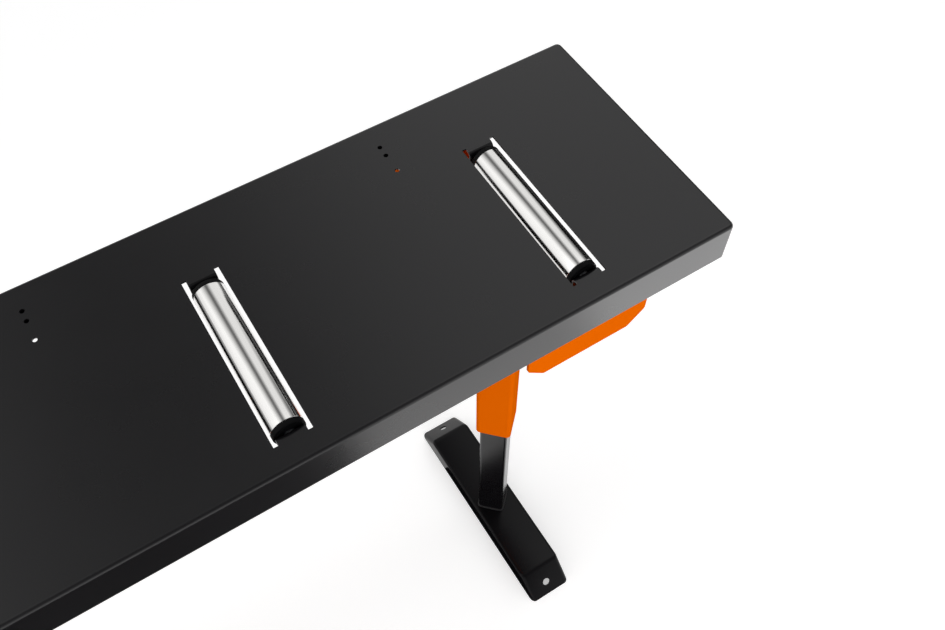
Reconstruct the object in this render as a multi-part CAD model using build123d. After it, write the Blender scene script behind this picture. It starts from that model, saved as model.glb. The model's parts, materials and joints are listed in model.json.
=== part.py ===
from build123d import *
import os
from math import atan2, cos, degrees, pi, radians, sin, sqrt

# Roller table: a folded sheet top with four free rollers, on two telescopic legs.
# The origin is on the floor under the middle of the table. +X runs along the table,
# +Y points to its back and +Z is up. All sizes are in millimetres.

# Table top
TABLE_LENGTH = 1230.0
TABLE_DEPTH = 300.0
TABLE_HEIGHT = 835.0
TOP_SHEET = 2.0
SKIRT_HEIGHT = 50.0
SKIRT_BEND_RADIUS = 4.0
CORNER_RADIUS = 6.0

# Roller slots and their bent lugs
ROLLER_PITCH = 306.0
ROLLER_COUNT = 4
SLOT_WIDTH = 37.0
SLOT_LENGTH = 196.0
SLOT_CENTRE_Y = -27.5
LUG_WIDTH = 28.0
LUG_ROOT = 3.0
LUG_BEND_RADIUS = 5.5
LUG_BELOW_AXLE = 10.0
LUG_TIP_RADIUS = 8.0
JOIN = 1.0

# Rollers
ROLLER_DIAMETER = 32.0
ROLLER_WALL = 2.0
ROLLER_LENGTH = 162.0
ROLLER_AXLE_DEPTH = 8.0
ROLLER_FRONT_GAP = 6.0
AXLE_DIAMETER = 8.0
AXLE_OVERHANG = 4.0
AXLE_CHAMFER = 0.6
AXLE_RUNNING_GAP = 0.05
LUG_HOLE_GAP = 0.1
CAP_FLANGE = 3.0
CAP_FLANGE_STEP = 0.6
CAP_SPIGOT_LENGTH = 14.0
BEARING_DIAMETER = 22.0
BEARING_WIDTH = 7.0
BEARING_RECESS = 1.0
BEARING_SHIELD_DEPTH = 0.5
BEARING_INNER_RING = 12.0
BEARING_OUTER_RING = 19.0
SPACER_DIAMETER = 11.0
CLIP_DIAMETER = 11.4
CLIP_THICKNESS = 1.0
SMALL_GAP = 0.3

# Groups of holes along the back of the top, for a length stop
STOP_GROUP_PITCH = 371.9
STOP_GROUP_COUNT = 3
STOP_HOLE_DIAMETER = 5.0
STOP_HOLE_ROWS = (83.0, 106.0, 118.5)

# Saddles that carry the top
LEG_INSET = 166.0
SADDLE_SHEET = 3.0
SADDLE_WIDTH = 140.0
SADDLE_DEPTH = 95.0
SADDLE_CHAMFER = 24.0
SADDLE_CORNER_RADIUS = 6.0
SADDLE_BEND_RADIUS = 6.0
SADDLE_LIP = 20.0
STUD_DIAMETER = 8.0
STUD_LENGTH = 14.0
STUD_CHAMFER = 0.8
STUD_SPACING = 110.0
STUD_HOLE_GAP = 0.5
NUT_FLATS = 13.0
NUT_HEIGHT = 6.5
NUT_COLLAR_DIAMETER = 16.0
NUT_COLLAR = 1.6

# Outer columns, square tube turned by 45 degrees
COLUMN_SIZE = 50.0
COLUMN_WALL = 3.0
COLUMN_RADIUS = 6.0
COLUMN_LENGTH = 410.0
COLLAR_HEIGHT = 30.0
COLLAR_RADIUS = 4.0

# Inner legs
LEG_SIZE = 40.0
LEG_WALL = 2.0
LEG_RADIUS = 4.0
SMALLEST_INNER_RADIUS = 0.5
LEG_OVERLAP = 105.0
GLIDE_PLATE = 4.0
GLIDE_SPIGOT = 15.0

# Clamps that hold the height
CLAMP_HEIGHT = 48.0
CLAMP_SCREW_DIAMETER = 10.0
CLAMP_SCREW_HOLE_GAP = 0.5
CLAMP_BOSS_FLATS = 17.0
CLAMP_BOSS_HEIGHT = 10.0
CLAMP_REACH = 12.0
CLAMP_CHAMFER = 1.2
KNOB_DIAMETER = 36.0
KNOB_HEIGHT = 16.0
KNOB_HUB_DIAMETER = 18.0
KNOB_HUB_HEIGHT = 8.0
KNOB_LOBES = 5
KNOB_SCALLOP_RADIUS = 8.0
KNOB_SCALLOP_OFFSET = 22.0
KNOB_EDGE = 2.0

# Feet
FOOT_HEIGHT = 35.0
FOOT_SHEET = 2.5
FOOT_WIDTH = 70.0
FOOT_PLATE_LENGTH = 282.0
FOOT_LENGTH = 354.0
FOOT_BEND_RADIUS = 4.0
FOOT_RELIEF_WIDTH = 2.5
FOOT_RELIEF_HEIGHT = 4.0
ANCHOR_HOLE_DIAMETER = 12.0
ANCHOR_ALONG_SLOPE = 0.6

# Places worked out from the sizes above
UNDERSIDE = TABLE_HEIGHT - TOP_SHEET
AXLE_Z = TABLE_HEIGHT - ROLLER_AXLE_DEPTH
SLOT_FRONT = SLOT_CENTRE_Y - SLOT_LENGTH / 2
SLOT_BACK = SLOT_CENTRE_Y + SLOT_LENGTH / 2
LUG_FACE_FRONT = SLOT_FRONT + LUG_ROOT + LUG_BEND_RADIUS
LUG_FACE_BACK = SLOT_BACK - LUG_ROOT - LUG_BEND_RADIUS
TUBE_FRONT = LUG_FACE_FRONT + ROLLER_FRONT_GAP
TUBE_BACK = TUBE_FRONT + ROLLER_LENGTH
SADDLE_BOTTOM = TABLE_HEIGHT - SADDLE_DEPTH
SADDLE_HALF_SPAN = TABLE_DEPTH / 2 - TOP_SHEET
COLUMN_BOTTOM = SADDLE_BOTTOM - COLUMN_LENGTH
COLUMN_BORE = COLUMN_SIZE - 2 * COLUMN_WALL
LEG_TOP = COLUMN_BOTTOM + LEG_OVERLAP
CLAMP_Z = COLUMN_BOTTOM + CLAMP_HEIGHT
LEG_CENTRES = {"left": LEG_INSET - TABLE_LENGTH / 2, "right": TABLE_LENGTH / 2 - LEG_INSET}
CLAMP_ANGLE = {"left": 135.0, "right": 45.0}


def roller_places():
    """X of each roller, from the left end to the right."""
    first = -ROLLER_PITCH * (ROLLER_COUNT - 1) / 2
    return [first + ROLLER_PITCH * number for number in range(ROLLER_COUNT)]


def along_y(radius, start, end, x=0.0, z=0.0):
    """A cylinder lying along Y between two places."""
    return Pos(x, (start + end) / 2, z) * Rot(90, 0, 0) * Cylinder(radius, end - start)


def square_bar(size, radius, low, high):
    """A square bar with rounded edges, turned by 45 degrees, standing on Z = low."""
    bar = Pos(0, 0, (low + high) / 2) * Box(size, size, high - low)
    bar = fillet(bar.edges().filter_by(Axis.Z), radius)
    return Rot(0, 0, 45) * bar


def square_tube(size, wall, radius, low, high):
    bore = square_bar(size - 2 * wall, max(radius - wall, SMALLEST_INNER_RADIUS), low, high)
    return square_bar(size, radius, low, high) - bore


def sheet_tray():
    """The top sheet with its four skirts, as one bent and corner-welded tray."""
    middle = TABLE_HEIGHT - SKIRT_HEIGHT / 2
    outside = Pos(0, 0, middle) * Box(TABLE_LENGTH, TABLE_DEPTH, SKIRT_HEIGHT)
    outside = fillet(outside.edges().filter_by(Axis.Z), CORNER_RADIUS)
    outside = fillet(outside.faces().sort_by(Axis.Z)[-1].edges(), SKIRT_BEND_RADIUS)
    inside = Pos(0, 0, middle - TOP_SHEET) * Box(
        TABLE_LENGTH - 2 * TOP_SHEET, TABLE_DEPTH - 2 * TOP_SHEET, SKIRT_HEIGHT
    )
    inside = fillet(inside.edges().filter_by(Axis.Z), CORNER_RADIUS - TOP_SHEET)
    inside = fillet(inside.faces().sort_by(Axis.Z)[-1].edges(), SKIRT_BEND_RADIUS - TOP_SHEET)
    return outside - inside


def slot_lug():
    """The front lug of one slot, at X = 0: flat root, bend, then a rounded tip with its hole."""
    inner = LUG_BEND_RADIUS - TOP_SHEET
    root = SLOT_FRONT - JOIN
    start = SLOT_FRONT + LUG_ROOT
    centre_z = TABLE_HEIGHT - LUG_BEND_RADIUS
    tip = AXLE_Z - LUG_BELOW_AXLE
    slope = sin(radians(45))
    with BuildPart() as lug:
        with BuildSketch(Plane.YZ):
            with BuildLine():
                Polyline((start, TABLE_HEIGHT), (root, TABLE_HEIGHT), (root, UNDERSIDE), (start, UNDERSIDE))
                ThreePointArc(
                    (start, UNDERSIDE),
                    (start + inner * slope, centre_z + inner * slope),
                    (start + inner, centre_z),
                )
                Polyline(
                    (start + inner, centre_z),
                    (start + inner, tip),
                    (LUG_FACE_FRONT, tip),
                    (LUG_FACE_FRONT, centre_z),
                )
                ThreePointArc(
                    (LUG_FACE_FRONT, centre_z),
                    (start + LUG_BEND_RADIUS * slope, centre_z + LUG_BEND_RADIUS * slope),
                    (start, TABLE_HEIGHT),
                )
            make_face()
        extrude(amount=LUG_WIDTH / 2, both=True)
        tip_edges = lug.edges().filter_by(Axis.Y).group_by(Axis.Z)[0]
        fillet(tip_edges, LUG_TIP_RADIUS)
    hole = along_y(AXLE_DIAMETER / 2 + LUG_HOLE_GAP, SLOT_FRONT, LUG_FACE_FRONT + JOIN, z=AXLE_Z)
    return lug.part - hole


def table_top():
    top = sheet_tray()
    front_lug = slot_lug()
    back_lug = Pos(0, 2 * SLOT_CENTRE_Y, 0) * mirror(front_lug, about=Plane.XZ)
    slot = Pos(0, SLOT_CENTRE_Y, TABLE_HEIGHT) * Box(SLOT_WIDTH, SLOT_LENGTH, 4 * TOP_SHEET)
    for x in roller_places():
        top = top - Pos(x, 0, 0) * slot
        top = top + Pos(x, 0, 0) * front_lug + Pos(x, 0, 0) * back_lug
    stop_hole = Cylinder(STOP_HOLE_DIAMETER / 2, 4 * TOP_SHEET)
    for group in range(STOP_GROUP_COUNT):
        x = (group - (STOP_GROUP_COUNT - 1) / 2) * STOP_GROUP_PITCH
        for y in STOP_HOLE_ROWS:
            top = top - Pos(x, y, TABLE_HEIGHT) * stop_hole
    return top


def roller_tube(x):
    outside = along_y(ROLLER_DIAMETER / 2, TUBE_FRONT, TUBE_BACK, x, AXLE_Z)
    inside = along_y(ROLLER_DIAMETER / 2 - ROLLER_WALL, TUBE_FRONT, TUBE_BACK, x, AXLE_Z)
    return outside - inside


def roller_end_cap(x):
    """The front bearing housing: a flange on the tube's end and a ribbed spigot inside it."""
    bore = ROLLER_DIAMETER / 2 - ROLLER_WALL
    face = TUBE_FRONT - CAP_FLANGE
    seat = face + BEARING_RECESS
    cap = along_y(ROLLER_DIAMETER / 2 - CAP_FLANGE_STEP, face, TUBE_FRONT, x, AXLE_Z)
    cap = cap + along_y(bore, TUBE_FRONT, TUBE_FRONT + CAP_SPIGOT_LENGTH, x, AXLE_Z)
    cap = cap - along_y(BEARING_DIAMETER / 2, face, seat + BEARING_WIDTH, x, AXLE_Z)
    cap = cap - along_y(BEARING_INNER_RING / 2, face, TUBE_FRONT + CAP_SPIGOT_LENGTH, x, AXLE_Z)
    return cap


def bearing(x):
    """The front ball bearing, with a shallow shield recess on each side."""
    start = TUBE_FRONT - CAP_FLANGE + BEARING_RECESS
    end = start + BEARING_WIDTH
    ring = along_y(BEARING_DIAMETER / 2, start, end, x, AXLE_Z)
    ring = ring - along_y(AXLE_DIAMETER / 2 + AXLE_RUNNING_GAP, start, end, x, AXLE_Z)
    for low, high in ((start, start + BEARING_SHIELD_DEPTH), (end - BEARING_SHIELD_DEPTH, end)):
        shield = along_y(BEARING_OUTER_RING / 2, low, high, x, AXLE_Z)
        shield = shield - along_y(BEARING_INNER_RING / 2, low, high, x, AXLE_Z)
        ring = ring - shield
    return ring


def at_both_ends(piece):
    """The front piece of a roller and its mirror image at the back end of the tube."""
    middle = (TUBE_FRONT + TUBE_BACK) / 2
    return [piece, Pos(0, 2 * middle, 0) * mirror(piece, about=Plane.XZ)]


def roller_axle(x):
    start = LUG_FACE_FRONT - TOP_SHEET - AXLE_OVERHANG
    end = LUG_FACE_BACK + TOP_SHEET + AXLE_OVERHANG
    axle = along_y(AXLE_DIAMETER / 2, start, end, x, AXLE_Z)
    return chamfer(axle.edges().filter_by(GeomType.CIRCLE), AXLE_CHAMFER)


def axle_spacers(x):
    """The sleeves between the lugs and the bearings. The back one is longer."""
    inset = CAP_FLANGE - BEARING_RECESS
    spans = (
        (LUG_FACE_FRONT, TUBE_FRONT - inset - SMALL_GAP),
        (TUBE_BACK + inset + SMALL_GAP, LUG_FACE_BACK),
    )
    return [
        along_y(SPACER_DIAMETER / 2, start, end, x, AXLE_Z)
        - along_y(AXLE_DIAMETER / 2, start, end, x, AXLE_Z)
        for start, end in spans
    ]


def axle_clips(x):
    """The open retaining rings on the axle, inside the tube beside the two bearings."""
    reach = BEARING_RECESS + BEARING_WIDTH - CAP_FLANGE + SMALL_GAP
    clips = []
    for start in (TUBE_FRONT + reach, TUBE_BACK - reach - CLIP_THICKNESS):
        end = start + CLIP_THICKNESS
        ring = along_y(CLIP_DIAMETER / 2, start, end, x, AXLE_Z)
        ring = ring - along_y(AXLE_DIAMETER / 2, start, end, x, AXLE_Z)
        mouth = Pos(x, (start + end) / 2, AXLE_Z - CLIP_DIAMETER / 2)
        clips.append(ring - mouth * Box(AXLE_DIAMETER / 2, 2 * CLIP_THICKNESS, CLIP_DIAMETER / 2))
    return clips


def saddle_profile():
    """The bent U of the saddle in the Y-Z plane, with its two lips turned inwards at the top."""
    half = SADDLE_HALF_SPAN
    with BuildPart() as bent:
        with BuildSketch(Plane.YZ):
            with Locations((0, (SADDLE_BOTTOM + UNDERSIDE) / 2)):
                Rectangle(2 * half, UNDERSIDE - SADDLE_BOTTOM)
            fillet(vertices(), SADDLE_BEND_RADIUS)
            with Locations((0, (SADDLE_BOTTOM + UNDERSIDE) / 2)):
                hollow_height = UNDERSIDE - SADDLE_BOTTOM - 2 * SADDLE_SHEET
                Rectangle(2 * (half - SADDLE_SHEET), hollow_height, mode=Mode.SUBTRACT)
            with Locations((0, UNDERSIDE)):
                Rectangle(2 * (half - SADDLE_LIP), 4 * SADDLE_SHEET, mode=Mode.SUBTRACT)
        extrude(amount=SADDLE_WIDTH / 2, both=True)
    return bent.part


def saddle(x):
    """The bent U, cut to the outline of its end flanges."""
    narrow = SADDLE_WIDTH / 2 - SADDLE_CHAMFER
    wide = SADDLE_WIDTH / 2
    turn = SADDLE_BOTTOM + SADDLE_CHAMFER
    with BuildPart() as outline:
        with BuildSketch(Plane.XZ):
            with BuildLine():
                Polyline(
                    (-wide, UNDERSIDE), (-wide, turn), (-narrow, SADDLE_BOTTOM),
                    (narrow, SADDLE_BOTTOM), (wide, turn), (wide, UNDERSIDE), close=True,
                )
            make_face()
        extrude(amount=TABLE_DEPTH, both=True)
        shoulders = outline.edges().filter_by(Axis.Y).group_by(Axis.Z)[1]
        fillet(shoulders, SADDLE_CORNER_RADIUS)
    piece = saddle_profile() & outline.part
    hole = Cylinder(STUD_DIAMETER / 2 + STUD_HOLE_GAP, 4 * SADDLE_SHEET)
    for place in stud_places():
        piece = piece - Pos(*place, UNDERSIDE) * hole
    return Pos(x, 0, 0) * piece


def stud_places():
    """X and Y of the four studs of a saddle at X = 0."""
    y = SADDLE_HALF_SPAN - SADDLE_SHEET - (SADDLE_LIP - SADDLE_SHEET) / 2
    return [(side * STUD_SPACING / 2, end * y) for side in (-1, 1) for end in (-1, 1)]


def saddle_studs(x):
    stud = Cylinder(STUD_DIAMETER / 2, STUD_LENGTH)
    stud = chamfer(stud.edges().sort_by(Axis.Z)[0], STUD_CHAMFER)
    low = UNDERSIDE - STUD_LENGTH / 2
    return [Pos(x + place[0], place[1], low) * stud for place in stud_places()]


def hexagon_bar(flats, height):
    return extrude(RegularPolygon(flats / sqrt(3), 6), height)


def saddle_nuts(x):
    """Flange nuts under the saddle's lips."""
    nut = Pos(0, 0, -NUT_HEIGHT) * hexagon_bar(NUT_FLATS, NUT_HEIGHT)
    nut = nut + Pos(0, 0, -NUT_COLLAR / 2) * Cylinder(NUT_COLLAR_DIAMETER / 2, NUT_COLLAR)
    nut = nut - Cylinder(STUD_DIAMETER / 2, 3 * NUT_HEIGHT)
    seat = UNDERSIDE - SADDLE_SHEET
    return [Pos(x + place[0], place[1], seat) * nut for place in stud_places()]


def outer_column(x, angle):
    tube = square_tube(COLUMN_SIZE, COLUMN_WALL, COLUMN_RADIUS, COLUMN_BOTTOM, SADDLE_BOTTOM)
    hole = Cylinder(CLAMP_SCREW_DIAMETER / 2 + CLAMP_SCREW_HOLE_GAP, COLUMN_SIZE)
    hole = Pos(0, 0, CLAMP_Z) * Rot(0, 90, 0) * Pos(0, 0, COLUMN_SIZE / 2) * hole
    return Pos(x, 0, 0) * (tube - Rot(0, 0, angle) * hole)


def guide_collar(x):
    """The plastic sleeve in the column's mouth that the leg slides through."""
    wall = (COLUMN_BORE - LEG_SIZE) / 2 - SMALL_GAP
    collar = square_tube(COLUMN_BORE, wall, COLLAR_RADIUS, COLUMN_BOTTOM, COLUMN_BOTTOM + COLLAR_HEIGHT)
    return Pos(x, 0, 0) * collar


def inner_leg(x):
    return Pos(x, 0, 0) * square_tube(LEG_SIZE, LEG_WALL, LEG_RADIUS, FOOT_HEIGHT, LEG_TOP)


def leg_glide(x):
    """The plastic plug on the leg's top, which guides it in the column."""
    plate = square_bar(COLUMN_BORE - 2 * SMALL_GAP, COLLAR_RADIUS, LEG_TOP, LEG_TOP + GLIDE_PLATE)
    spigot = square_bar(LEG_SIZE - 2 * LEG_WALL, LEG_RADIUS - LEG_WALL, LEG_TOP - GLIDE_SPIGOT, LEG_TOP)
    return Pos(x, 0, 0) * (plate + spigot)


def clamp_place(x, angle, distance):
    """Where a clamp piece sits: its own +Z points out of the column's face."""
    return Pos(x, 0, CLAMP_Z) * Rot(0, 0, angle) * Rot(0, 90, 0) * Pos(0, 0, distance)


def clamp_boss(x, angle):
    boss = hexagon_bar(CLAMP_BOSS_FLATS, CLAMP_BOSS_HEIGHT)
    boss = boss - Cylinder(CLAMP_SCREW_DIAMETER / 2 + AXLE_RUNNING_GAP, 3 * CLAMP_BOSS_HEIGHT)
    return clamp_place(x, angle, COLUMN_SIZE / 2) * boss


def clamp_screw(x, angle):
    start = LEG_SIZE / 2 + SMALL_GAP
    end = COLUMN_SIZE / 2 + CLAMP_BOSS_HEIGHT + CLAMP_REACH
    screw = Pos(0, 0, (end - start) / 2) * Cylinder(CLAMP_SCREW_DIAMETER / 2, end - start)
    screw = chamfer(screw.edges().filter_by(GeomType.CIRCLE).sort_by(Axis.Z)[0], CLAMP_CHAMFER)
    return clamp_place(x, angle, start) * screw


def clamp_knob(x, angle):
    """A star grip with a hub towards the column, moulded round the screw's end."""
    star = Pos(0, 0, KNOB_HUB_HEIGHT + KNOB_HEIGHT / 2) * Cylinder(KNOB_DIAMETER / 2, KNOB_HEIGHT)
    for lobe in range(KNOB_LOBES):
        turn = 2 * pi * lobe / KNOB_LOBES
        place = Pos(KNOB_SCALLOP_OFFSET * cos(turn), KNOB_SCALLOP_OFFSET * sin(turn), KNOB_HUB_HEIGHT)
        star = star - place * Cylinder(KNOB_SCALLOP_RADIUS, 4 * KNOB_HEIGHT)
    star = fillet(star.faces().sort_by(Axis.Z)[-1].edges(), KNOB_EDGE)
    hub = Pos(0, 0, KNOB_HUB_HEIGHT / 2) * Cylinder(KNOB_HUB_DIAMETER / 2, KNOB_HUB_HEIGHT)
    socket = Pos(0, 0, CLAMP_REACH / 2 - SMALL_GAP / 2)
    socket = socket * Cylinder(CLAMP_SCREW_DIAMETER / 2, CLAMP_REACH - SMALL_GAP)
    start = COLUMN_SIZE / 2 + CLAMP_BOSS_HEIGHT + SMALL_GAP
    return clamp_place(x, angle, start) * (star + hub - socket)


def foot_block(inset):
    """The foot's outline as a solid block, drawn in by the sheet thickness when inset is set."""
    run = (FOOT_LENGTH - FOOT_PLATE_LENGTH) / 2
    steep = sqrt(run ** 2 + FOOT_HEIGHT ** 2)
    back_off = inset * steep / FOOT_HEIGHT
    top = FOOT_HEIGHT - inset
    bottom_half = FOOT_LENGTH / 2 - back_off
    top_half = bottom_half - run * top / FOOT_HEIGHT
    with BuildPart() as block:
        with BuildSketch(Plane.YZ):
            with BuildLine():
                Polyline((-bottom_half, 0), (bottom_half, 0), (top_half, top), (-top_half, top), close=True)
            make_face()
        extrude(amount=FOOT_WIDTH / 2 - inset, both=True)
        fillet(block.faces().sort_by(Axis.Z)[-1].edges(), FOOT_BEND_RADIUS - inset)
    return block.part


def foot(x):
    """The folded foot: plate, two long flanges and sloped ends with an anchor hole each."""
    run = (FOOT_LENGTH - FOOT_PLATE_LENGTH) / 2
    piece = foot_block(0.0) - foot_block(FOOT_SHEET)
    angle = degrees(atan2(FOOT_HEIGHT, run))
    hole = Cylinder(ANCHOR_HOLE_DIAMETER / 2, 8 * FOOT_SHEET)
    relief = Box(FOOT_RELIEF_WIDTH, 4 * FOOT_SHEET, 2 * FOOT_RELIEF_HEIGHT)
    for end in (-1, 1):
        y = end * (FOOT_PLATE_LENGTH / 2 + run * ANCHOR_ALONG_SLOPE)
        z = FOOT_HEIGHT * (1 - ANCHOR_ALONG_SLOPE)
        piece = piece - Pos(0, y, z) * Rot(-end * angle, 0, 0) * hole
        for side in (-1, 1):
            corner = side * (FOOT_WIDTH / 2 - FOOT_SHEET - FOOT_RELIEF_WIDTH)
            piece = piece - Pos(corner, end * FOOT_LENGTH / 2, 0) * relief
    return Pos(x, 0, 0) * piece


def build_nodes():
    nodes = {"table_top": [table_top()]}
    for number, x in enumerate(roller_places(), start=1):
        name = f"roller_{number}_"
        nodes[name + "tube"] = [roller_tube(x)]
        nodes[name + "end_caps"] = at_both_ends(roller_end_cap(x))
        nodes[name + "bearings"] = at_both_ends(bearing(x))
        nodes[name + "axle"] = [roller_axle(x)]
        nodes[name + "spacers"] = axle_spacers(x)
        nodes[name + "axle_clips"] = axle_clips(x)
    for side, x in LEG_CENTRES.items():
        angle = CLAMP_ANGLE[side]
        nodes[side + "_saddle"] = [saddle(x)]
        nodes[side + "_saddle_studs"] = saddle_studs(x)
        nodes[side + "_saddle_nuts"] = saddle_nuts(x)
        nodes[side + "_outer_column"] = [outer_column(x, angle)]
        nodes[side + "_guide_collar"] = [guide_collar(x)]
        nodes[side + "_inner_leg"] = [inner_leg(x)]
        nodes[side + "_leg_glide"] = [leg_glide(x)]
        nodes[side + "_foot"] = [foot(x)]
        nodes[side + "_clamp_boss"] = [clamp_boss(x, angle)]
        nodes[side + "_clamp_screw"] = [clamp_screw(x, angle)]
        nodes[side + "_clamp_knob"] = [clamp_knob(x, angle)]
    return nodes


os.makedirs("parts", exist_ok=True)
for node, pieces in build_nodes().items():
    solids = [solid for piece in pieces for solid in piece.solids()]
    shape = solids[0] if len(solids) == 1 else Compound(children=solids)
    shape.label = node
    export_step(shape, f"parts/{node}.step")
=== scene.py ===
# %% [markdown]
# # A roller table
# A long folded sheet top with free steel rollers, on two telescopic legs. The engineering
# model already has every part at its real size. This notebook dresses it: it sets the
# camera and a pale studio, mixes one finish for each real surface, turns smooth roller
# tubes and caps, folds the feet, and lays the weld beads that hold the frame together.

# %% Load the frame
import json
from math import atan2, cos, pi, radians, sin

import bmesh
import bpy
from mathutils import Matrix, Vector

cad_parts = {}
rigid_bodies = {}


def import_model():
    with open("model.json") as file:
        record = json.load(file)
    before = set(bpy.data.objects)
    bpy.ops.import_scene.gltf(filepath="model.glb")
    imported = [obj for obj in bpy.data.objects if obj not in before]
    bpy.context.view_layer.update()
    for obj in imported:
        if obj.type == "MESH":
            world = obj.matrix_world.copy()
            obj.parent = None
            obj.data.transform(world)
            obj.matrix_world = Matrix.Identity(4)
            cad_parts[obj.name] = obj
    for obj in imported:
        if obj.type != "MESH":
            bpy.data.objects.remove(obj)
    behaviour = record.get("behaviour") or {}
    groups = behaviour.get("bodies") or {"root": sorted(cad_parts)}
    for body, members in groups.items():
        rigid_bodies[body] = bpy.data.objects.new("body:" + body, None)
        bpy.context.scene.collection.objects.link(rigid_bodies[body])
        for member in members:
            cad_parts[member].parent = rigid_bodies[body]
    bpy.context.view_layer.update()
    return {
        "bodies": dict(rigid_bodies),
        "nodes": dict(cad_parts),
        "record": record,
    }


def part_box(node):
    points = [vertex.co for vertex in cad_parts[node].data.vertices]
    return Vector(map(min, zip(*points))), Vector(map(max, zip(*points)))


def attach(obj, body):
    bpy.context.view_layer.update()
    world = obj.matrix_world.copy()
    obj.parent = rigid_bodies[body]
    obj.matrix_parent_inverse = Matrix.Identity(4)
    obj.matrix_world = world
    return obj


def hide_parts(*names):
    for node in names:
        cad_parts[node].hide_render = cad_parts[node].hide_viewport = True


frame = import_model()

# %% [markdown]
# Places and main sizes are read from the frame, so the dressing follows the model. A part's
# box gives its lowest and highest corner, in metres. Only what a box doesn't tell, such as
# the thickness of a wall, stands below as a number in millimetres.

# %% Sizes read from the frame
MM = 0.001
SIDES = ("left", "right")
ROLLERS = sorted(name for name in frame["bodies"] if name.startswith("roller_"))
top_low, top_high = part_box("table_top")
print("rollers:", ROLLERS, "table height in mm:", round(top_high.z / MM))

# %% [markdown]
# Blender keeps what a thing is, such as a mesh or a lens, apart from the object that gives
# it a place, and the object shows only when a collection holds it. A bmesh is a mesh under
# construction, and becomes a real one at the end. Two small tools do these steps.

# %% Tools for new objects
def add_object(name, data):
    """A new object at the origin that shows in the scene."""
    holder = bpy.data.objects.new(name, data)
    bpy.context.scene.collection.objects.link(holder)
    return holder


def mesh_of(name, shape):
    """The mesh that a bmesh has become. The bmesh is freed."""
    mesh = bpy.data.meshes.new(name)
    shape.to_mesh(mesh)
    shape.free()
    return mesh


print("new objects go to", bpy.context.scene.collection.name)

# %% [markdown]
# The camera stands in front of the table and left of its right end, and looks steeply
# down and to the right. Its place is given from the table's front edge, right end and
# surface, because those three show in every picture of the table.

# %% Camera
CAMERA_BEFORE_FRONT = 0.3478
CAMERA_LEFT_OF_END = 0.5179
CAMERA_ABOVE_TOP = 0.7406
CAMERA_DOWN = 57.78
CAMERA_TO_RIGHT = 32.06
SENSOR_WIDTH = 36.0
FOCAL_LENGTH = 36.79

lens = bpy.data.cameras.new("studio_camera")
lens.sensor_fit = "HORIZONTAL"
lens.sensor_width = SENSOR_WIDTH
lens.lens = FOCAL_LENGTH
camera = add_object("studio_camera", lens)
camera.location = (
    top_high.x - CAMERA_LEFT_OF_END,
    top_low.y - CAMERA_BEFORE_FRONT,
    top_high.z + CAMERA_ABOVE_TOP,
)
camera.rotation_euler = (radians(90 - CAMERA_DOWN), 0, radians(-CAMERA_TO_RIGHT))
bpy.context.scene.camera = camera
print("camera at", [round(value, 3) for value in camera.location])

# %% [markdown]
# Finishes are node trees. Small tools are enough for all of them: one turns the hex colour
# of a paint chart into the linear values that the renderer adds up, one adds a node with
# its settings and its links, and two open and close a tree.

# %% Tools for finishes
def linear(hex_colour):
    """The linear red, green, blue and alpha of an sRGB hex colour."""
    shares = [int(hex_colour[start:start + 2], 16) / 255 for start in (1, 3, 5)]
    return [s / 12.92 if s <= 0.04045 else ((s + 0.055) / 1.055) ** 2.4 for s in shares] + [1.0]


def add_node(tree, kind, inputs=None, **settings):
    """A new node. An input is a value, or another node's output to link."""
    node = tree.nodes.new(kind)
    for name, value in settings.items():
        setattr(node, name, value)
    for name, value in (inputs or {}).items():
        if isinstance(value, bpy.types.NodeSocket):
            tree.links.new(value, node.inputs[name])
        else:
            node.inputs[name].default_value = value
    return node


def new_finish(name):
    """An empty material with its node tree."""
    finish = bpy.data.materials.new(name)
    finish.use_nodes = True
    finish.node_tree.nodes.clear()
    return finish, finish.node_tree


def surface(tree, inputs):
    """Ends a tree with the general surface shader."""
    shader = add_node(tree, "ShaderNodeBsdfPrincipled", inputs)
    add_node(tree, "ShaderNodeOutputMaterial", {"Surface": shader.outputs["BSDF"]})


# A Mix node has one set of sockets for numbers and one for colours, with the same names.
NUMBER_A, NUMBER_B = 2, 3
COLOUR_A, COLOUR_B, COLOUR_RESULT = 6, 7, 2
print("sRGB mid grey is", round(linear("#808080")[0], 3), "in linear light")

# %% [markdown]
# Powder coat is dry paint that melts in an oven. It flows almost flat and keeps soft
# dimples of a millimetre or two, called orange peel. They are a bump from fine noise, and
# slow noise shifts tone and shine a little, as handling does. The legs are glossier than
# the top. The orange coat takes no clear reflection, which would wash its colour out.

# %% Powder coat
PATCHES_PER_METRE = 9.0
PEEL_DIMPLE = 1.4 * MM
PEEL_DEPTH = 0.03 * MM


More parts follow.
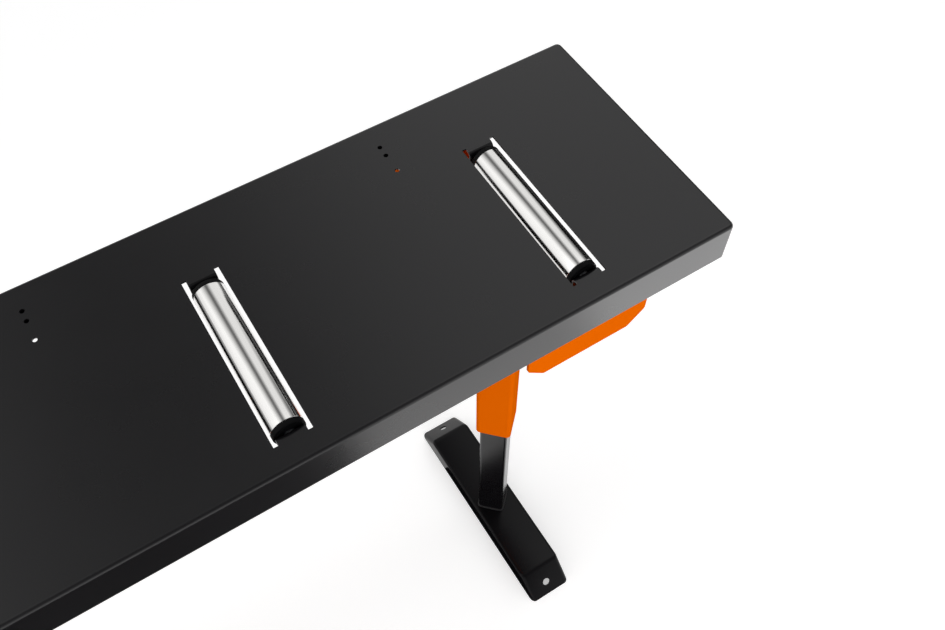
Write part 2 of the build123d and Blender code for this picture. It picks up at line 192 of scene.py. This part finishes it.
def powder_coat(name, tone, worn_tone, roughness, shift, gloss, depth):
    """Baked powder paint on sheet steel, whose roughness shifts a little either way."""
    finish, tree = new_finish(name)
    place = add_node(tree, "ShaderNodeTexCoord").outputs["Object"]
    slow = add_node(
        tree, "ShaderNodeTexNoise", {"Vector": place, "Scale": PATCHES_PER_METRE, "Detail": 5.0}
    ).outputs["Fac"]
    colour = add_node(
        tree, "ShaderNodeMix",
        {"Factor": slow, COLOUR_A: linear(tone), COLOUR_B: linear(worn_tone)}, data_type="RGBA",
    )
    shine = add_node(
        tree, "ShaderNodeMapRange",
        {"Value": slow, "To Min": roughness - shift, "To Max": roughness + shift},
    )
    peel = add_node(
        tree, "ShaderNodeTexNoise", {"Vector": place, "Scale": 1 / PEEL_DIMPLE, "Detail": 2.0}
    )
    bump = add_node(
        tree, "ShaderNodeBump", {"Height": peel.outputs["Fac"], "Distance": depth, "Strength": 1.0}
    )
    surface(tree, {
        "Base Color": colour.outputs[COLOUR_RESULT],
        "Roughness": shine.outputs["Result"],
        "IOR": 1.5,
        "Specular IOR Level": gloss,
        "Normal": bump.outputs["Normal"],
    })
    return finish


black_coat = powder_coat(
    "black_powder_coat", "#100f11", "#141315",
    roughness=0.28, shift=0.03, gloss=0.5, depth=PEEL_DEPTH,
)
orange_coat = powder_coat(
    "orange_powder_coat", "#e86400", "#ec6a02",
    roughness=0.5, shift=0.04, gloss=0.0, depth=PEEL_DEPTH,
)
leg_coat = powder_coat(
    "glossy_black_coat", "#0c0b0d", "#100f11",
    roughness=0.2, shift=0.03, gloss=0.16, depth=PEEL_DEPTH / 2,
)
print("mixed", black_coat.name, "and", orange_coat.name, "and", leg_coat.name)

# %% [markdown]
# A conveyor tube is ground and polished while it turns, so its finest scratches run round
# it and differ only along its length. Noise that is squeezed along the tube and hardly
# changes round it gives them. They are drawn at 0.5 mm, coarser than the real ones, so that
# they show.

# %% Polished roller steel
SCRATCH_SHINE = (0.7, 1.4)


def turned_steel(name, tone, roughness, scratch, depth):
    """Steel with fine turning marks about an axis along Y."""
    finish, tree = new_finish(name)
    place = add_node(tree, "ShaderNodeTexCoord").outputs["Object"]
    squeezed = add_node(
        tree, "ShaderNodeMapping", {"Vector": place, "Scale": (1.0, 1 / scratch, 1.0)}
    )
    marks = add_node(
        tree, "ShaderNodeTexNoise", {"Vector": squeezed.outputs["Vector"], "Scale": 1.0, "Detail": 3.0}
    ).outputs["Fac"]
    smoothest, roughest = (roughness * share for share in SCRATCH_SHINE)
    shine = add_node(
        tree, "ShaderNodeMapRange", {"Value": marks, "To Min": smoothest, "To Max": roughest}
    )
    bump = add_node(tree, "ShaderNodeBump", {"Height": marks, "Distance": depth, "Strength": 1.0})
    surface(tree, {
        "Base Color": linear(tone),
        "Metallic": 1.0,
        "Roughness": shine.outputs["Result"],
        "Normal": bump.outputs["Normal"],
    })
    return finish


roller_steel = turned_steel(
    "polished_roller_steel", "#e6e5e3", roughness=0.13, scratch=0.5 * MM, depth=0.001 * MM
)
bearing_steel = turned_steel(
    "ground_bearing_steel", "#c9cacc", roughness=0.22, scratch=0.4 * MM, depth=0.002 * MM
)
print("mixed", roller_steel.name, "and", bearing_steel.name)

# %% [markdown]
# Zinc plate is a thin electroplated layer. Its crystals give a slightly cloudy shine that
# changes from place to place, so the roughness follows a noise of a few millimetres. Oiled
# spring steel gets the same clouds in a darker tone.

# %% Plated and oiled steel
CLOUD_SHINE = (0.75, 1.3)


def plated_steel(name, tone, roughness, cloud):
    """Electroplated or oiled steel with a cloudy shine."""
    finish, tree = new_finish(name)
    place = add_node(tree, "ShaderNodeTexCoord").outputs["Object"]
    clouds = add_node(
        tree, "ShaderNodeTexNoise", {"Vector": place, "Scale": 1 / cloud, "Detail": 4.0}
    ).outputs["Fac"]
    smoothest, roughest = (roughness * share for share in CLOUD_SHINE)
    shine = add_node(
        tree, "ShaderNodeMapRange", {"Value": clouds, "To Min": smoothest, "To Max": roughest}
    )
    surface(tree, {"Base Color": linear(tone), "Metallic": 1.0, "Roughness": shine.outputs["Result"]})
    return finish


zinc = plated_steel("zinc_plated_steel", "#bfc1c4", roughness=0.34, cloud=3 * MM)
spring_steel = plated_steel("oiled_spring_steel", "#3c3b3a", roughness=0.4, cloud=2 * MM)
print("mixed", zinc.name, "and", spring_steel.name)

# %% [markdown]
# The caps, sleeves and knobs are moulded. The tool was spark-eroded, which leaves a fine
# even grain on the plastic and takes the gloss off it. The nylon is the duller of the two.

# %% Moulded plastic
def moulded_plastic(name, tone, roughness, gloss, grain, depth):
    """Plastic with the even grain of a spark-eroded mould."""
    finish, tree = new_finish(name)
    place = add_node(tree, "ShaderNodeTexCoord").outputs["Object"]
    pits = add_node(
        tree, "ShaderNodeTexVoronoi", {"Vector": place, "Scale": 1 / grain}
    ).outputs["Distance"]
    bump = add_node(tree, "ShaderNodeBump", {"Height": pits, "Distance": depth, "Strength": 1.0})
    surface(tree, {
        "Base Color": linear(tone),
        "Roughness": roughness,
        "IOR": 1.53,
        "Specular IOR Level": gloss,
        "Normal": bump.outputs["Normal"],
    })
    return finish


nylon = moulded_plastic(
    "black_nylon", "#050506", roughness=0.6, gloss=0.1, grain=0.5 * MM, depth=0.02 * MM
)
knob_plastic = moulded_plastic(
    "black_knob_plastic", "#1b1b1d", roughness=0.42, gloss=0.5, grain=0.6 * MM, depth=0.03 * MM
)
print("mixed", nylon.name, "and", knob_plastic.name)

# %% [markdown]
# The record names the finish of every part, so one loop can paint them all. The inner legs
# then get the glossier black.

# %% Paint the parts of the frame
FINISHES = {
    "black_powder_coat": black_coat,
    "orange_powder_coat": orange_coat,
    "polished_roller_steel": roller_steel,
    "zinc_plated_steel": zinc,
    "spring_steel": spring_steel,
    "bearing_steel": bearing_steel,
    "black_nylon": nylon,
    "knob_plastic": knob_plastic,
}
slot_of_part = {part["node"]: part["material_slot"] for part in frame["record"]["subparts"]}
for node, slot in slot_of_part.items():
    mesh = frame["nodes"][node].data
    mesh.materials.clear()
    mesh.materials.append(FINISHES[slot])
for side in SIDES:
    frame["nodes"][side + "_inner_leg"].data.materials[0] = leg_coat
print("painted", len(slot_of_part), "parts")

# %% [markdown]
# New pieces start as a bmesh, and all end the same way: the mesh is shaded smooth but for
# its real edges, gets its finish, and rides on the body that carries it. Round pieces are
# an outline that is spun one full turn, as on a lathe.

# %% Tools for new pieces
SMOOTH_BELOW = radians(35)
MERGE_BELOW = 0.001 * MM
LATHE_STEPS = 96


def add_piece(name, shape, body, slot):
    """Turns a bmesh into a piece that rides on a body."""
    bmesh.ops.recalc_face_normals(shape, faces=shape.faces)
    mesh = mesh_of(name, shape)
    mesh.shade_smooth()
    mesh.set_sharp_from_angle(angle=SMOOTH_BELOW)
    mesh.materials.append(FINISHES[slot])
    piece = add_object(name, mesh)
    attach(piece, body)
    return piece


def add_to(whole, shape):
    """Joins one bmesh to another and frees it."""
    mesh = mesh_of("part_of_a_piece", shape)
    whole.from_mesh(mesh)
    bpy.data.meshes.remove(mesh)


def round_edges(shape, edges, radius, steps):
    """Rounds edges of a bmesh."""
    bmesh.ops.bevel(
        shape, geom=edges, offset=radius, segments=steps, profile=0.5, affect="EDGES", material=-1
    )


def spin_round(shape, geom, centre, axis, steps):
    """Spins an outline one full turn and closes the seam."""
    bmesh.ops.spin(
        shape, geom=geom, cent=centre, axis=axis, angle=2 * pi, steps=steps, use_merge=True
    )
    bmesh.ops.remove_doubles(shape, verts=shape.verts, dist=MERGE_BELOW)


def turn_on_lathe(outline, x, z, steps=LATHE_STEPS):
    """Spins a closed outline of radius and Y about an axis along Y."""
    shape = bmesh.new()
    corners = [shape.verts.new((x + radius, y, z)) for radius, y in outline]
    edges = [shape.edges.new(pair) for pair in zip(corners, corners[1:] + corners[:1])]
    spin_round(shape, corners + edges, (x, 0, z), (0, 1, 0), steps)
    return shape


print("real edges are those sharper than", round(SMOOTH_BELOW, 2), "radians")

# %% [markdown]
# The engineering tube is a fine polygon, and a polished surface shows every facet. A lathe
# makes a smoother one: the wall's outline is spun round the axis and its rims are rounded,
# as a deburring tool leaves them.

# %% Roller tubes
TUBE_WALL = 2.0 * MM
TUBE_STEPS = 160
RIM_ROUND = 0.5 * MM
RIM_STEPS = 3

for roller in ROLLERS:
    low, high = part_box(roller + "_tube")
    radius = (high.z - low.z) / 2
    bore = radius - TUBE_WALL
    outline = [(radius, low.y), (radius, high.y), (bore, high.y), (bore, low.y)]
    shape = turn_on_lathe(outline, (low.x + high.x) / 2, (low.z + high.z) / 2, TUBE_STEPS)
    rims = [edge for edge in shape.edges if edge.calc_face_angle() > SMOOTH_BELOW]
    round_edges(shape, rims, RIM_ROUND, RIM_STEPS)
    tube = add_piece(roller + "_polished_tube", shape, roller, "polished_roller_steel")
    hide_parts(roller + "_tube")
print("turned", len(ROLLERS), "tubes of radius", round(radius / MM, 1), "mm")

# %% [markdown]
# The caps in the tube's ends are moulded nylon. Each has a flange almost as wide as the
# tube, which fills the slot beside the lug, and a spigot that holds the bearing. The
# engineering caps are plainer, so a lathe turns new ones with a rounded flange and a raised
# ring.

# %% End caps
FLANGE = 5.2 * MM
FLANGE_GAP = 0.2 * MM
FLANGE_ROUND = 1.2 * MM
FLANGE_ROUND_MIDDLE = 0.3 * FLANGE_ROUND
RING_HEIGHT = 0.5 * MM
RING_INSIDE = 11.0 * MM
RING_OUTSIDE = 13.5 * MM
CAP_BORE = 6.5 * MM
SPIGOT = 14.0 * MM
BEARING_SEAT = 11.0 * MM

for roller in ROLLERS:
    low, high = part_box(roller + "_tube")
    bearing_low, bearing_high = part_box(roller + "_bearings")
    radius = (high.z - low.z) / 2
    bore = radius - TUBE_WALL
    rim = radius - FLANGE_GAP
    caps = bmesh.new()
    for end, seat, outwards in ((low.y, bearing_low.y, -1), (high.y, bearing_high.y, 1)):
        face = end + outwards * FLANGE
        ring = face + outwards * RING_HEIGHT
        inner_end = end - outwards * SPIGOT
        outline = [
            (CAP_BORE, face), (RING_INSIDE, face), (RING_INSIDE, ring), (RING_OUTSIDE, ring),
            (RING_OUTSIDE, face), (rim - FLANGE_ROUND, face),
            (rim - FLANGE_ROUND_MIDDLE, face - outwards * FLANGE_ROUND_MIDDLE),
            (rim, face - outwards * FLANGE_ROUND), (rim, end), (bore, end), (bore, inner_end),
            (BEARING_SEAT, inner_end), (BEARING_SEAT, seat), (CAP_BORE, seat),
        ]
        add_to(caps, turn_on_lathe(outline, (low.x + high.x) / 2, (low.z + high.z) / 2))
    piece = add_piece(roller + "_flanged_caps", caps, roller, "black_nylon")
    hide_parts(roller + "_end_caps")
print("turned", 2 * len(ROLLERS), "caps with flanges of", round(FLANGE / MM, 1), "mm")

# %% [markdown]
# Of each group of three holes in the top, the two at the back are dark inside: a threaded
# bush is welded under them for the screws of a length stop. A lathe turns one blind bush
# for each, and the places come from the mounts in the record.

# %% Blind bushes under the top
BUSH_RADIUS = 4.5 * MM
BUSH_BORE = 2.5 * MM
BUSH_LENGTH = 10.0 * MM
BUSH_DEPTH = 8.0 * MM
BUSH_STEPS = 32
TOP_SHEET = 2.0 * MM
WITH_BUSH = ("middle_stop_hole", "back_stop_hole")

bush_places = [
    mount["pos_m"][:2] for mount in frame["record"]["mounts"] if mount["name"].endswith(WITH_BUSH)
]
bush_outline = [
    (0, -BUSH_LENGTH), (BUSH_RADIUS, -BUSH_LENGTH), (BUSH_RADIUS, 0),
    (BUSH_BORE, 0), (BUSH_BORE, -BUSH_DEPTH), (0, -BUSH_DEPTH),
]
bushes = bmesh.new()
for x, y in bush_places:
    bush = turn_on_lathe(bush_outline, 0, 0, BUSH_STEPS)
    upright = Matrix.Translation((x, y, top_high.z - TOP_SHEET)) @ Matrix.Rotation(pi / 2, 4, "X")
    bmesh.ops.transform(bush, matrix=upright, verts=bush.verts)
    add_to(bushes, bush)
add_piece("stop_bushes", bushes, "table", "black_powder_coat")
print("turned", len(bush_places), "bushes")

# %% [markdown]
# Each foot is one folded plate with sloped ends. The engineering foot has sharp lower
# corners, and the real one has rounded ones. A rounded block less a smaller rounded block
# gives the folded shell, and a cylinder cuts each anchor hole. The Boolean modifier does
# the cutting, and its result becomes the mesh.

# %% Tools for the feet
FOOT_SHEET = 2.5 * MM
FOOT_PLATE_LENGTH = 282.0 * MM
FOOT_CORNER = 7.0 * MM
CORNER_STEPS = 6
FOOT_BEND = 4.0 * MM
BEND_STEPS = 5
NEAR_TOP = 0.01 * MM
ANCHOR_RADIUS = 6.0 * MM
ANCHOR_STEPS = 48
ANCHOR_ALONG_SLOPE = 0.6
DRILL_LENGTH = 8 * FOOT_SHEET
CUT_BELOW = 5.0 * MM


def folded_block(half_width, half_length, half_plate, low, high, corner, bend):
    """A closed block with sloped ends, rounded corner edges and a rounded top."""
    shape = bmesh.new()
    bmesh.ops.create_cube(shape, size=2.0)
    for vert in shape.verts:
        half, level = (half_plate, high) if vert.co.z > 0 else (half_length, low)
        vert.co = (vert.co.x * half_width, vert.co.y * half, level)
    slanted = [edge for edge in shape.edges if edge.verts[0].co.z != edge.verts[1].co.z]
    round_edges(shape, slanted, corner, CORNER_STEPS)
    rim = [edge for edge in shape.edges if min(vert.co.z for vert in edge.verts) > high - NEAR_TOP]
    round_edges(shape, rim, bend, BEND_STEPS)
    return shape


def anchor_drill(y, z, tilt):
    """A cylinder that cuts one anchor hole, tilted from upright about X."""
    drill = bmesh.new()
    bmesh.ops.create_cone(
        drill, cap_ends=True, segments=ANCHOR_STEPS, radius1=ANCHOR_RADIUS, radius2=ANCHOR_RADIUS,
        depth=DRILL_LENGTH, matrix=Matrix.Translation((0, y, z)) @ Matrix.Rotation(tilt, 4, "X"),
    )
    return drill


def cut(block, tools):
    """The block less its tools, all of them bmeshes."""
    solids = [add_object("block", mesh_of("block", shape)) for shape in (block, *tools)]
    for tool in solids[1:]:
        step = solids[0].modifiers.new("cut", "BOOLEAN")
        step.operation = "DIFFERENCE"
        step.solver = "EXACT"
        step.object = tool
    left = bmesh.new()
    left.from_object(solids[0], bpy.context.evaluated_depsgraph_get())
    for solid in solids:
        bpy.data.meshes.remove(solid.data)
    return left


print("feet of", round(FOOT_SHEET / MM, 1), "mm plate")

# %% [markdown]
# The inner block is the outer one set back by the plate's thickness. On a sloped end the
# set-back is square to the slope, so along the floor it is longer. The inner block reaches
# below the foot, so that the cut stays clean where the foot is open.

# %% Feet
for side in SIDES:
    low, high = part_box(side + "_foot")
    half_width, half_length = (high.x - low.x) / 2, (high.y - low.y) / 2
    half_plate = FOOT_PLATE_LENGTH / 2
    slope = (half_length - half_plate) / high.z
    inner_half = half_length - FOOT_SHEET * (1 + slope ** 2) ** 0.5
    inner_top = high.z - FOOT_SHEET
    outside = folded_block(half_width, half_length, half_plate, low.z, high.z, FOOT_CORNER, FOOT_BEND)
    inside = folded_block(
        half_width - FOOT_SHEET, inner_half + slope * CUT_BELOW, inner_half - slope * inner_top,
        low.z - CUT_BELOW, inner_top, FOOT_CORNER - FOOT_SHEET, FOOT_BEND - FOOT_SHEET,
    )
    hole_y = half_plate + (half_length - half_plate) * ANCHOR_ALONG_SLOPE
    hole_z = high.z * (1 - ANCHOR_ALONG_SLOPE)
    drills = [anchor_drill(end * hole_y, hole_z, -end * atan2(1, slope)) for end in (-1, 1)]
    shape = cut(outside, [inside, *drills])
    bmesh.ops.translate(shape, verts=shape.verts, vec=((low.x + high.x) / 2, 0, 0))
    foot = add_piece(side + "_folded_foot", shape, side + "_leg", "black_powder_coat")
    foot.data.materials[0] = leg_coat
    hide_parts(side + "_foot")
    print("folded", foot.name, "with", len(foot.data.polygons), "faces")

# %% [markdown]
# A fillet weld is a row of overlapping puddles. It is a thin ring spun round the tube's
# foot, pushed out to the tube's square outline, with a ripple along it for the puddles.

# %% Tool for weld beads
BEAD = 2.2 * MM
BEAD_STEPS = 12
ROUND_STEPS = 360
PUDDLE = 3.0 * MM
RIPPLE = 0.12
SQUARENESS = 9.0


def weld_round(half, x, z):
    """A rippled bead round a square tube of this half width, turned by 45 degrees."""
    shape = bmesh.new()
    stand = Matrix.Translation((half, 0, 0)) @ Matrix.Rotation(pi / 2, 4, "X")
    bmesh.ops.create_circle(shape, segments=BEAD_STEPS, radius=BEAD, matrix=stand)
    spin_round(shape, shape.verts[:] + shape.edges[:], (0, 0, 0), (0, 0, 1), ROUND_STEPS)
    tube_side = 2 * half
    puddles = round(4 * tube_side / PUDDLE)
    for corner in shape.verts:
        turn = atan2(corner.co.y, corner.co.x)
        out = (corner.co.x ** 2 + corner.co.y ** 2) ** 0.5 - half
        reach = half / (abs(cos(turn)) ** SQUARENESS + abs(sin(turn)) ** SQUARENESS) ** (1 / SQUARENESS)
        swell = 1 + RIPPLE * sin(puddles * turn)
        corner.co.x = (reach + out * swell) * cos(turn)
        corner.co.y = (reach + out * swell) * sin(turn)
        corner.co.z *= swell
    bmesh.ops.rotate(shape, verts=shape.verts, cent=(0, 0, 0), matrix=Matrix.Rotation(pi / 4, 3, "Z"))
    bmesh.ops.translate(shape, verts=shape.verts, vec=(x, 0, z))
    return shape


print("beads of", round(BEAD / MM, 1), "mm")

# %% [markdown]
# One bead joins each inner leg to its foot, and one joins each column to its saddle. The
# first moves with the leg, and the second stays with the table.

# %% Weld beads
COLUMN_HALF = 25.0 * MM
LEG_HALF = 20.0 * MM

for side in SIDES:
    low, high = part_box(side + "_inner_leg")
    x = (low.x + high.x) / 2
    leg_bead = weld_round(LEG_HALF, x, low.z)
    add_piece(side + "_leg_weld", leg_bead, side + "_leg", "black_powder_coat")
    column_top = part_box(side + "_outer_column")[1].z
    column_bead = weld_round(COLUMN_HALF, x, column_top)
    add_piece(side + "_column_weld", column_bead, "table", "orange_powder_coat")
print("laid", 2 * len(SIDES), "welds")

# %% [markdown]
# The studio starts with a sheet of white paper as its floor. A small glow lifts it to clear
# white where the camera or a reflection sees it. The glow adds no light to the table, and
# the paper still takes the table's shadow.

# %% Floor
FLOOR_HALF = 12.0
FLOOR_GLOW = 0.48


def paper_floor():
    """White paper, lifted to white where the camera or a reflection sees it."""
    finish, tree = new_finish("white_paper")
    rays = add_node(tree, "ShaderNodeLightPath").outputs
    seen = rays["Is Camera Ray"]
    for other in ("Is Glossy Ray", "Is Transmission Ray"):
        seen = add_node(
            tree, "ShaderNodeMath", {0: seen, 1: rays[other]}, operation="MAXIMUM"
        ).outputs[0]
    paper = add_node(tree, "ShaderNodeBsdfDiffuse", {"Color": linear("#e6e6e6")})
    glow = add_node(
        tree, "ShaderNodeEmission", {"Color": linear("#ffffff"), "Strength": FLOOR_GLOW}
    )
    lifted = add_node(tree, "ShaderNodeAddShader", {0: paper.outputs[0], 1: glow.outputs[0]})
    shown = add_node(
        tree, "ShaderNodeMixShader", {0: seen, 1: paper.outputs[0], 2: lifted.outputs[0]}
    )
    add_node(tree, "ShaderNodeOutputMaterial", {"Surface": shown.outputs[0]})
    return finish


shape = bmesh.new()
bmesh.ops.create_grid(shape, x_segments=1, y_segments=1, size=FLOOR_HALF)
mesh = mesh_of("floor", shape)
mesh.materials.append(paper_floor())
floor = add_object("floor", mesh)
print("floor of", 2 * FLOOR_HALF, "m")

# %% [markdown]
# The world is the light from all round. Its walls are white up to a low rise, and above
# them its ceiling has brighter and darker bands, given by the X and the Y of the direction
# that one looks in. Polished tubes mirror the whole width of the ceiling, so the bands show
# on them as bright flanks and a dark line. The top mirrors a small part of it, which gives
# its slow shade. The Standard view shows each colour as it is written.

# %% Light overhead
WALL = 1.0
WALL_TOP = 0.12
CEILING_START = 0.35
BRIGHTNESS_ACROSS = (
    (-1.0, 1.1), (-0.55, 1.2), (-0.34, 0.8), (-0.07, 0.15), (0.04, 0.17),
    (0.3, 0.93), (0.66, 0.93), (0.82, 0.3), (0.9, 0.1), (1.0, 0.3),
)
BRIGHTNESS_BACKWARDS = (
    (-1.0, 0.6), (-0.5, 0.35), (-0.2, 0.3), (-0.02, 1.5), (0.12, 1.5), (0.25, 1.0), (1.0, 1.0),
)


def brightness_ramp(tree, direction, levels):
    """Brightness by one part of the view direction, which runs from -1 to 1."""
    share = add_node(tree, "ShaderNodeMapRange", {"Value": direction, "From Min": -1.0})
    ramp = add_node(tree, "ShaderNodeValToRGB", {"Fac": share.outputs["Result"]})
    stops = ramp.color_ramp.elements
    for place, level in levels[1:-1]:
        stops.new((place + 1) / 2)
    for stop, (place, level) in zip(stops, levels):
        stop.color = (level, level, level, 1.0)
    return ramp.outputs["Color"]


world = bpy.data.worlds.new("studio")
bpy.context.scene.world = world
bpy.context.scene.view_settings.view_transform = "Standard"
world.use_nodes = True
tree = world.node_tree
tree.nodes.clear()
direction = add_node(tree, "ShaderNodeTexCoord").outputs["Generated"]
parts = add_node(tree, "ShaderNodeSeparateXYZ", {"Vector": direction}).outputs
across = brightness_ramp(tree, parts["X"], BRIGHTNESS_ACROSS)
backwards = brightness_ramp(tree, parts["Y"], BRIGHTNESS_BACKWARDS)
overhead = add_node(tree, "ShaderNodeMath", {0: across, 1: backwards}, operation="MULTIPLY")
rise = add_node(
    tree, "ShaderNodeMapRange", {"Value": parts["Z"], "From Min": WALL_TOP, "From Max": CEILING_START}
)
brightness = add_node(
    tree, "ShaderNodeMix",
    {"Factor": rise.outputs["Result"], NUMBER_A: WALL, NUMBER_B: overhead.outputs[0]},
)
sky = add_node(
    tree, "ShaderNodeBackground", {"Color": linear("#ffffff"), "Strength": brightness.outputs[0]}
)
add_node(tree, "ShaderNodeOutputWorld", {"Surface": sky.outputs["Background"]})
print("walls at", WALL, "and", len(BRIGHTNESS_ACROSS), "steps of light across the ceiling")

# %% [markdown]
# A soft box in front lights the faces that look away from the ceiling. Reflections don't
# see it, so it leaves no patch on the steel. A glowing card low down on the right is the
# other way round: only reflections see it, and it gives the right end of the front skirt
# its bright shade.

# %% Lamps
def soft_lamp(name, place, aim, size, power):
    """A square soft box at one point that shines towards another."""
    lamp = bpy.data.lights.new(name, "AREA")
    lamp.size = size
    lamp.energy = power
    holder = add_object(name, lamp)
    holder.location = place
    holder.rotation_euler = (Vector(aim) - holder.location).to_track_quat("-Z", "Y").to_euler()
    holder.visible_camera = False
    return holder


front_lamp = soft_lamp(
    "front_lamp", place=(0.2, -2.6, 1.4), aim=(top_low + top_high) / 2, size=1.6, power=30.0
)
front_lamp.visible_glossy = False
low_card = soft_lamp(
    "low_card", place=(1.25, -0.8, 0.02), aim=(1.25, -0.8, 1.0), size=0.9, power=2.4
)
low_card.visible_diffuse = False
print("two lamps light the front")

# %% [markdown]
# A photographer hangs black flags where a shiny surface should mirror darkness. Here two
# hang for the left and the right flanks of the rollers, one lies on the floor for the left
# half of the front skirt, and one lies beside each foot for its leg. Only reflections see
# them. They are painted shade: they give the reflections the dark of the shaded floor and
# underside, which the floor's glow takes away.

# %% Black flags
UPRIGHT = pi / 2
FLAT = 0.0
FOOT_FLAG_WIDTH = 0.07
FOOT_FLAG_LENGTH = 0.3
FOOT_FLAG_FORWARD = 0.05
FOOT_FLAG_HEIGHT = 0.002


def black_flag(name, width, length, turn, place):
    """A black card that only reflections see, turned about Y."""
    shape = bmesh.new()
    bmesh.ops.create_grid(shape, x_segments=1, y_segments=1, size=0.5)
    bmesh.ops.scale(shape, verts=shape.verts, vec=(width, length, 1.0))
    bmesh.ops.rotate(shape, verts=shape.verts, cent=(0, 0, 0), matrix=Matrix.Rotation(turn, 3, "Y"))
    bmesh.ops.translate(shape, verts=shape.verts, vec=place)
    mesh = mesh_of(name, shape)
    mesh.materials.append(velvet)
    flag = add_object(name, mesh)
    flag.visible_camera = False
    flag.visible_diffuse = False
    flag.visible_shadow = False


velvet, tree = new_finish("black_velvet")
surface(tree, {"Base Color": linear("#050505"), "Roughness": 1.0, "Specular IOR Level": 0.0})
black_flag("left_flag", width=0.5, length=0.9, turn=UPRIGHT, place=(-0.45, 0.5, 0.53))
black_flag("right_flag", width=0.88, length=0.9, turn=UPRIGHT, place=(1.1, 0.5, 0.64))
black_flag("floor_flag", width=2.0, length=1.0, turn=FLAT, place=(-0.7, -0.75, 0.01))
for side in SIDES:
    foot_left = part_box(side + "_foot")[0].x
    beside_foot = (foot_left - FOOT_FLAG_WIDTH / 2, -FOOT_FLAG_FORWARD, FOOT_FLAG_HEIGHT)
    black_flag(side + "_foot_flag", FOOT_FLAG_WIDTH, FOOT_FLAG_LENGTH, FLAT, beside_foot)
print("hung the flags")
